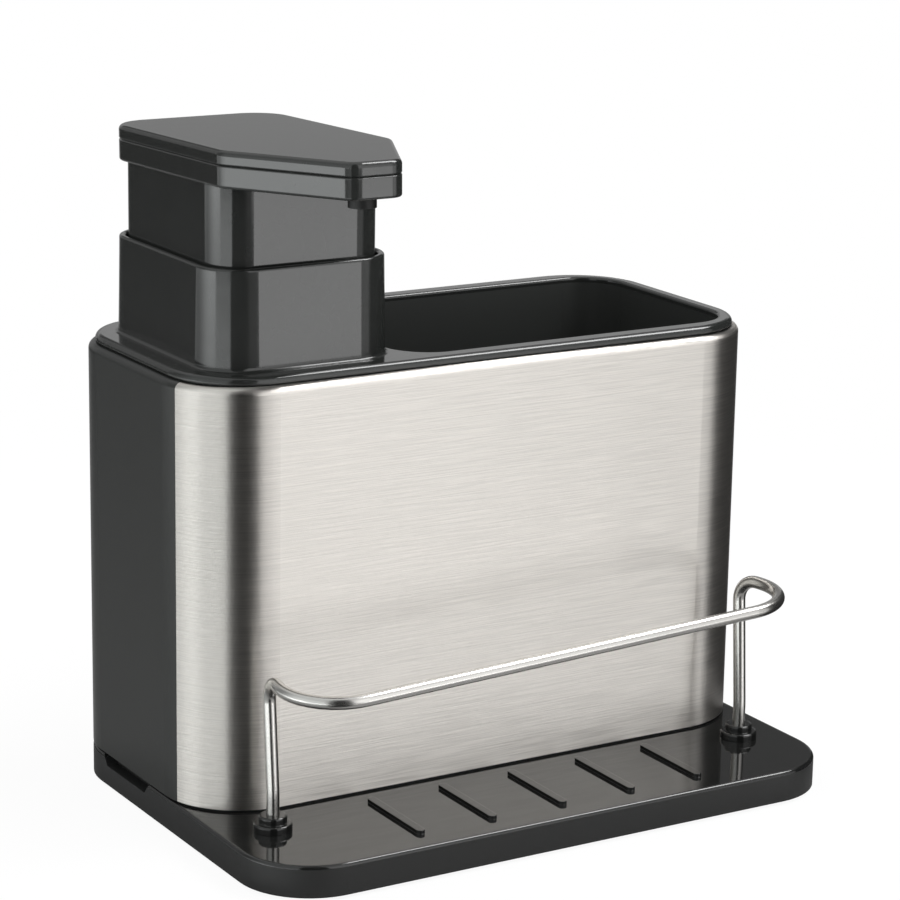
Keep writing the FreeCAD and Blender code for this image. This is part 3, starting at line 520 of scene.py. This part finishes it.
    def lamp(self, context, name, lamp):
        """One of the lamps, which the camera doesn't see."""
        light = bpy.data.lights.new(name, "AREA")
        light.size = lamp.size
        light.energy = lamp.power
        holder = bpy.data.objects.new(name, light)
        holder.location = lamp.place
        holder.rotation_mode = "QUATERNION"
        holder.rotation_quaternion = (LAMP_AIM - Vector(lamp.place)).to_track_quat("-Z", "Y")
        holder.visible_glossy = lamp.mirrored
        holder.visible_camera = False
        context.scene.collection.objects.link(holder)


# In the finishes below, scales are in cycles a metre, depths in metres, and pairs go from low to high
BROAD_SHARE = 0.08
BROAD_STRETCH = (0.5, 0.5, 0.18)
STREAK_EDGE = (0.27, 0.73)
STREAK_SHADES = (0.87, 1.09)
STREAK_GLOSS = 0.06
STREAK_DEPTH = 0.00002


class CADDY_OT_steel(bpy.types.Operator):
    """Finishes the brushed wrap"""
    bl_idname = "caddy.steel"
    bl_label = "Steel wrap"

    def execute(self, context):
        steel = settings("caddy_steel")
        paint = new_paint("brushed_steel")
        across = 1 / steel.brush_length
        lines = paint.stretch(paint.place(), (across, across, 1 / steel.brush_pitch))
        fine = paint.noise(lines, scale=1.0, detail=3.0, roughness=0.6)
        broad = paint.noise(paint.stretch(lines, BROAD_STRETCH), scale=1.0)
        streak = paint.step((1 - BROAD_SHARE) * fine + BROAD_SHARE * broad, *STREAK_EDGE)
        dress(paint.done(paint.surface(
            Base_Color=paint.vary(streak, steel.sheet_colour, *STREAK_SHADES), Metallic=1.0,
            Roughness=around(steel.sheet_roughness, STREAK_GLOSS, streak),
            Anisotropic=0.9, Anisotropic_Rotation=0.25,
            Normal=paint.bump(streak, STREAK_DEPTH))), "steel_wrap")
        return {"FINISHED"}


DRAWN_SCALE = 900.0
DRAWN_GLOSS = 0.04
DRAWN_DEPTH = 0.000002
WIRE_CLOUD_SCALE = 60.0
WIRE_SHADES = (0.9, 1.0)
NUT_SCALE = 250.0
NUT_DULL = (0.2, 0.19, 0.18, 1.0)
NUT_BRIGHT = (0.34, 0.33, 0.32, 1.0)
NUT_ROUGHNESS = (0.3, 0.45)
NUT_DEPTH = 0.00002


class CADDY_OT_rail(bpy.types.Operator):
    """Finishes the wire rail, its ferrules and its push nuts"""
    bl_idname = "caddy.rail"
    bl_label = "Wire rail"

    def execute(self, context):
        steel = settings("caddy_steel")
        plastic = settings("caddy_plastic")
        paint = new_paint("polished_wire")
        drawn = paint.noise(paint.place(), DRAWN_SCALE)
        cloud = paint.noise(paint.place(), WIRE_CLOUD_SCALE)
        dress(paint.done(paint.surface(
            Base_Color=paint.vary(cloud, steel.wire_colour, *WIRE_SHADES), Metallic=1.0,
            Roughness=steel.wire_roughness + DRAWN_GLOSS * drawn,
            Normal=paint.bump(drawn, DRAWN_DEPTH))), "wire_rail")
        ferrule = gloss("ferrule_gloss", plastic.tray_colour, roughness=0.08)
        dress(ferrule, "rail_ferrule_left", "rail_ferrule_right")
        paint = new_paint("spring_steel")
        cloud = paint.noise(paint.place(), NUT_SCALE, detail=3.0)
        dress(paint.done(paint.surface(
            Base_Color=paint.mix(cloud, NUT_DULL, NUT_BRIGHT), Metallic=1.0,
            Roughness=between(*NUT_ROUGHNESS, cloud),
            Normal=paint.bump(cloud, NUT_DEPTH))), "rail_push_nuts")
        return {"FINISHED"}


POLISHED_IOR = 1.59
SATIN_IOR = 1.5
RIPPLE_SCALE = 160.0
WIPED_SCALE = 700.0
WIPED_STRETCH = (1.0, 1.0, 3.0)
WIPED_GLOSS = 0.02
POLISHED_SHADES = (0.9, 1.1)
CLOUD_SCALE = 30.0
GRAIN_GLOSS = 0.05
SATIN_SHADES = (0.88, 1.12)
MOULD_DEPTH = 0.00001


def gloss(name, colour, roughness):
    """Moulded glossy plastic: a faint ripple as the mould leaves it, and fine wiping marks in its gloss."""
    edge = settings("caddy_plastic").edge_radius
    paint = new_paint(name)
    ripple = paint.noise(paint.place(), RIPPLE_SCALE, detail=1.0)
    wiped = paint.noise(paint.stretch(paint.place(), WIPED_STRETCH), WIPED_SCALE, detail=3.0)
    return paint.done(paint.surface(
        Base_Color=paint.vary(ripple, colour, *POLISHED_SHADES), IOR=POLISHED_IOR,
        Roughness=around(roughness, WIPED_GLOSS, wiped), Normal=paint.bump(ripple, MOULD_DEPTH, edge)))


def satin(name, colour, roughness, grain_pitch, depth=MOULD_DEPTH):
    """Moulded plastic with a fine spark-eroded grain."""
    paint = new_paint(name)
    grain = paint.noise(paint.place(), 1 / grain_pitch)
    cloud = paint.noise(paint.place(), CLOUD_SCALE)
    return paint.done(paint.surface(
        Base_Color=paint.vary(0.5 * grain + 0.5 * cloud, colour, *SATIN_SHADES), IOR=SATIN_IOR,
        Roughness=around(roughness, GRAIN_GLOSS, grain), Normal=paint.bump(grain, depth)))


TRAY_GLOSS_SOFT = 0.0003
TRAY_GRAIN_SCALE = 1600.0
TRAY_RIPPLE_SCALE = 120.0
TRAY_WIPED_SCALE = 500.0
TRAY_WIPED_STRETCH = (1.0, 2.5, 1.0)
TRAY_POLISHED = (0.05, 0.08)
TRAY_SATIN = (0.46, 0.56)
TRAY_DEPTH = 0.000008


class CADDY_OT_base(bpy.types.Operator):
    """Finishes the base tray and its feet"""
    bl_idname = "caddy.base"
    bl_label = "Base tray"

    def execute(self, context):
        plastic = settings("caddy_plastic")
        paint = new_paint("tray_gloss")
        height = paint.axis(paint.place(), "Z")
        edge = plastic.tray_gloss_height
        polished = paint.step(height, edge - TRAY_GLOSS_SOFT, edge + TRAY_GLOSS_SOFT)
        grain = paint.noise(paint.place(), TRAY_GRAIN_SCALE)
        ripple = paint.noise(paint.place(), TRAY_RIPPLE_SCALE, detail=1.0)
        wiped = paint.noise(paint.stretch(paint.place(), TRAY_WIPED_STRETCH), TRAY_WIPED_SCALE, detail=3.0)
        tone = paint.vary(0.5 * grain + 0.5 * ripple, plastic.tray_colour, *SATIN_SHADES)
        roughness = (between(*TRAY_POLISHED, wiped) * polished
                     + between(*TRAY_SATIN, grain) * (1 - polished))
        relief = ripple * polished + grain * (1 - polished)
        dress(paint.done(paint.surface(
            Base_Color=tone, Roughness=roughness, IOR=POLISHED_IOR,
            Normal=paint.bump(relief, TRAY_DEPTH, plastic.edge_radius))), "base_tray")
        foot = satin(
            "foot_rubber", plastic.rubber_colour, roughness=0.75, grain_pitch=0.0006, depth=0.00004)
        dress(foot, "foot_front_left", "foot_front_right", "foot_back_left", "foot_back_right")
        return {"FINISHED"}


class CADDY_OT_shell(bpy.types.Operator):
    """Finishes the housing"""
    bl_idname = "caddy.shell"
    bl_label = "Housing"

    def execute(self, context):
        plastic = settings("caddy_plastic")
        shell = satin(
            "shell_satin", plastic.shell_colour, roughness=0.3, grain_pitch=0.0005, depth=0.000012)
        dress(shell, "housing")
        return {"FINISHED"}


# Metres above the steel wrap over which the insert turns from satin to polished, and from its lighter
# inside colour, which is painted light, to its own colour
INSERT_GLOSS_EDGE = (0.0003, 0.0013)
INSERT_GRAIN_SCALE = 1800.0
INSERT_POLISHED = (0.1, 0.14)
INSERT_SATIN = (0.36, 0.46)


class CADDY_OT_insert(bpy.types.Operator):
    """Finishes the insert and the soap tank"""
    bl_idname = "caddy.insert"
    bl_label = "Insert"

    def execute(self, context):
        plastic = settings("caddy_plastic")
        paint = new_paint("insert_gloss")
        height = paint.axis(paint.place(), "Z")
        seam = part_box("steel_wrap")[1][2]
        outside = paint.step(height, *(seam + rise for rise in INSERT_GLOSS_EDGE))
        ripple = paint.noise(paint.place(), RIPPLE_SCALE, detail=1.0)
        grain = paint.noise(paint.place(), INSERT_GRAIN_SCALE)
        wiped = paint.noise(paint.stretch(paint.place(), WIPED_STRETCH), WIPED_SCALE, detail=3.0)
        top = paint.vary(ripple, plastic.gloss_colour, *POLISHED_SHADES)
        # Painted light: below the seam the base colour is lifted lighter inside the bin
        tone = paint.mix(1 - outside, top, shade(plastic.gloss_colour, plastic.inside_painted_light))
        roughness = (between(*INSERT_POLISHED, wiped) * outside
                     + between(*INSERT_SATIN, grain) * (1 - outside))
        relief = ripple * outside + grain * (1 - outside)
        dress(paint.done(paint.surface(
            Base_Color=tone, Roughness=roughness, IOR=POLISHED_IOR,
            Normal=paint.bump(relief, MOULD_DEPTH, plastic.edge_radius))), "insert", "soap_tank")
        return {"FINISHED"}


class CADDY_OT_head(bpy.types.Operator):
    """Finishes the pump head and its nozzle"""
    bl_idname = "caddy.head"
    bl_label = "Pump head"

    def execute(self, context):
        plastic = settings("caddy_plastic")
        dress(gloss("head_gloss", plastic.gloss_colour, roughness=0.1), "head_body", "head_cap")
        nozzle = satin("nozzle_satin", plastic.tray_colour, roughness=0.5, grain_pitch=0.0005)
        dress(nozzle, "nozzle")
        return {"FINISHED"}


SPRING_CLOUD_SCALE = 400.0
SPRING_SHADES = (0.85, 1.0)
SPRING_ROUGHNESS = (0.2, 0.3)
# The coil's rings of points in a turn, and the points of each ring
SPRING_STEPS = 32
SPRING_SIDES = 10


class CADDY_OT_pump(bpy.types.Operator):
    """Finishes the pump's works and winds its spring"""
    bl_idname = "caddy.pump"
    bl_label = "Pump works"

    def execute(self, context):
        plastic = settings("caddy_plastic")
        steel = settings("caddy_steel")
        closure = satin("closure_satin", plastic.gloss_colour, roughness=0.35, grain_pitch=0.0006)
        dress(closure, "closure_plate", "lock_ring")
        works = satin("works_natural", plastic.works_colour, roughness=0.35, grain_pitch=0.001)
        dress(works, "pump_cylinder", "pump_stem")
        tube = satin("tube_natural", plastic.works_colour, roughness=0.25, grain_pitch=0.002)
        dress(tube, "dip_tube", "delivery_tube")
        seal = satin(
            "seal_rubber", plastic.rubber_colour, roughness=0.6, grain_pitch=0.0008, depth=0.00002)
        dress(seal, "closure_gasket", "piston")
        paint = new_paint("spring_wire")
        cloud = paint.noise(paint.place(), SPRING_CLOUD_SCALE)
        wire = paint.done(paint.surface(
            Base_Color=paint.vary(cloud, steel.wire_colour, *SPRING_SHADES), Metallic=1.0,
            Roughness=between(*SPRING_ROUGHNESS, cloud), Normal=paint.bump(cloud, MOULD_DEPTH)))
        dress(wire, "return_spring", "inlet_ball", "outlet_ball")
        self.spring(context, wire, steel)
        return {"FINISHED"}

    def spring(self, context, material, steel):
        """The return spring as a coil that the pump unit carries."""
        low, high = (Vector(corner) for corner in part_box("return_spring"))
        middle = (low + high) / 2
        wire = steel.spring_wire / 2
        radius = (high.x - low.x) / 2 - wire
        steps = steel.spring_turns * SPRING_STEPS
        climb = (high.z - low.z - 2 * wire) / steps
        up = Vector((0.0, 0.0, 1.0))
        points = []
        for ring in range(steps + 1):
            turn = 2 * math.pi * ring / SPRING_STEPS
            out = Vector((math.cos(turn), math.sin(turn), 0.0))
            centre = Vector((middle.x, middle.y, low.z + wire + climb * ring)) + radius * out
            for side in range(SPRING_SIDES):
                angle = 2 * math.pi * side / SPRING_SIDES
                points.append(centre + wire * (math.cos(angle) * out + math.sin(angle) * up))
        first_end = tuple(range(SPRING_SIDES))
        last_end = tuple(steps * SPRING_SIDES + side for side in reversed(range(SPRING_SIDES)))
        faces = [first_end, last_end]
        for ring in range(steps):
            here = ring * SPRING_SIDES
            ahead = here + SPRING_SIDES
            for side in range(SPRING_SIDES):
                beside = (side + 1) % SPRING_SIDES
                faces.append((here + side, ahead + side, ahead + beside, here + beside))
        coil = bpy.data.meshes.new("spring_coil")
        coil.from_pydata(points, [], faces)
        coil.polygons.foreach_set("use_smooth", [face not in (first_end, last_end) for face in faces])
        coil.materials.append(material)
        spring = bpy.data.objects.new("spring_coil", coil)
        context.scene.collection.objects.link(spring)
        press = next(j for j in frame["record"]["behaviour"]["joints"] if j["name"] == "pump_press")
        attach(spring, "pump_unit")
        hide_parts("return_spring")
        1 - press["range_m"][1] / (high.z - low.z)
        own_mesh(spring)


OPERATORS = (CADDY_OT_stage, CADDY_OT_base, CADDY_OT_rail, CADDY_OT_shell, CADDY_OT_steel, CADDY_OT_insert,
             CADDY_OT_head, CADDY_OT_pump)


class CADDY_PT_finishes(bpy.types.Panel):
    """Lists the caddy's operators"""
    bl_idname = "CADDY_PT_finishes"
    bl_label = "Sink caddy"
    bl_space_type = "VIEW_3D"
    bl_region_type = "UI"
    bl_category = "Caddy"

    def draw(self, context):
        for operator in OPERATORS:
            self.layout.operator(operator.bl_idname)


GROUPS = (
    ("caddy_studio", StudioSettings),
    ("caddy_steel", SteelSettings),
    ("caddy_plastic", PlasticSettings),
)


def register():
    """Adds the settings, the operators and the panel to Blender."""
    for name, group in GROUPS:
        bpy.utils.register_class(group)
        setattr(bpy.types.Scene, name, bpy.props.PointerProperty(type=group))
    for operator in OPERATORS:
        bpy.utils.register_class(operator)
    bpy.utils.register_class(CADDY_PT_finishes)


def unregister():
    """Takes them out again, in reverse."""
    bpy.utils.unregister_class(CADDY_PT_finishes)
    for operator in reversed(OPERATORS):
        bpy.utils.unregister_class(operator)
    for name, group in reversed(GROUPS):
        delattr(bpy.types.Scene, name)
        bpy.utils.unregister_class(group)


def main():
    """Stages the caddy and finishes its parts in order."""
    register()
    bpy.ops.caddy.stage()
    bpy.ops.caddy.base()
    bpy.ops.caddy.rail()
    bpy.ops.caddy.shell()
    bpy.ops.caddy.steel()
    bpy.ops.caddy.insert()
    bpy.ops.caddy.head()
    bpy.ops.caddy.pump()


if __name__ == "__main__":
    main()
